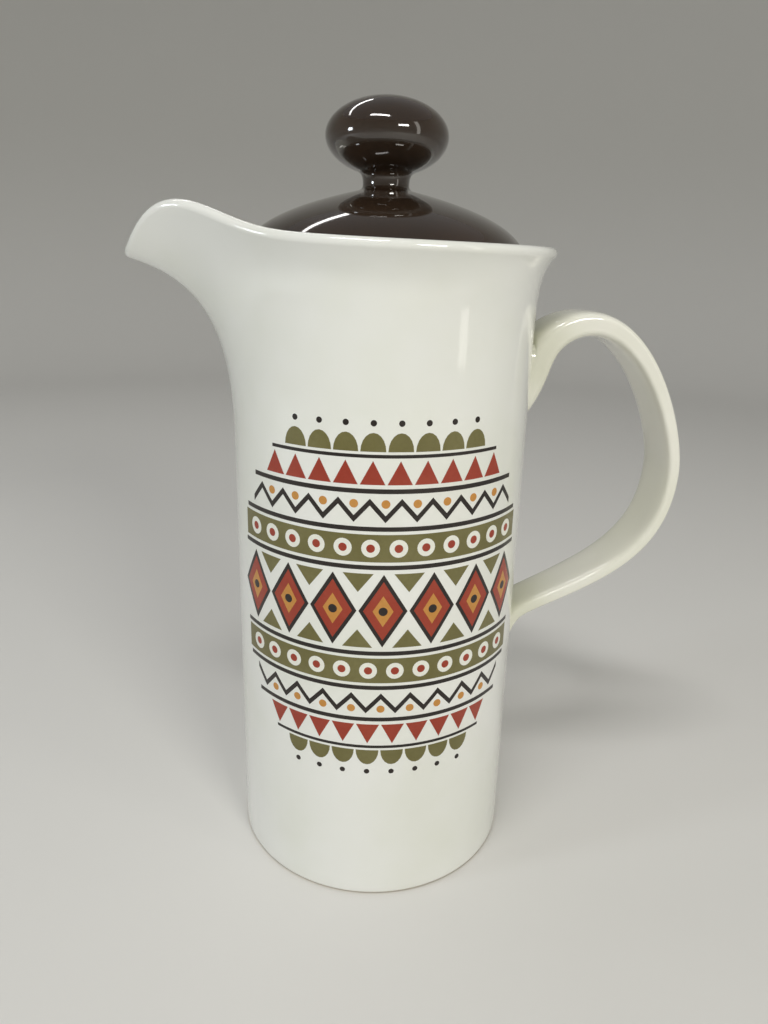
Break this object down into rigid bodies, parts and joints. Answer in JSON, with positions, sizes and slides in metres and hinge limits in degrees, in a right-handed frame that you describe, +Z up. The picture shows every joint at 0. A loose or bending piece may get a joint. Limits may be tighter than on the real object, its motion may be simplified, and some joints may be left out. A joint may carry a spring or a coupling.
{
  "type": "coffee pot",
  "caption": "Tall straight-sided glazed earthenware coffee pot with a drawn pouring lip, a strap handle and a dark domed lift-off lid with a mushroom knob.",
  "frame": {"origin": "centre of the foot ring, on the table", "axes": "+Z up the barrel's axis, -X along the pouring lip, +X along the handle"},
  "size_m": [0.1872, 0.1076, 0.2541],
  "materials": {
    "white_glaze": "gloss",
    "brown_glaze": "gloss"
  },
  "bodies": {
    "pot": {"pot_body": "white_glaze", "handle": "white_glaze"},
    "lid": {"lid": "brown_glaze", "lid_knob": "brown_glaze"}
  },
  "joints": [
    {"name": "lid_lift", "type": "slide", "parent": "pot", "child": "lid", "axis": [0, 0, 1], "range_m": [0, 0.06]}
  ]
}
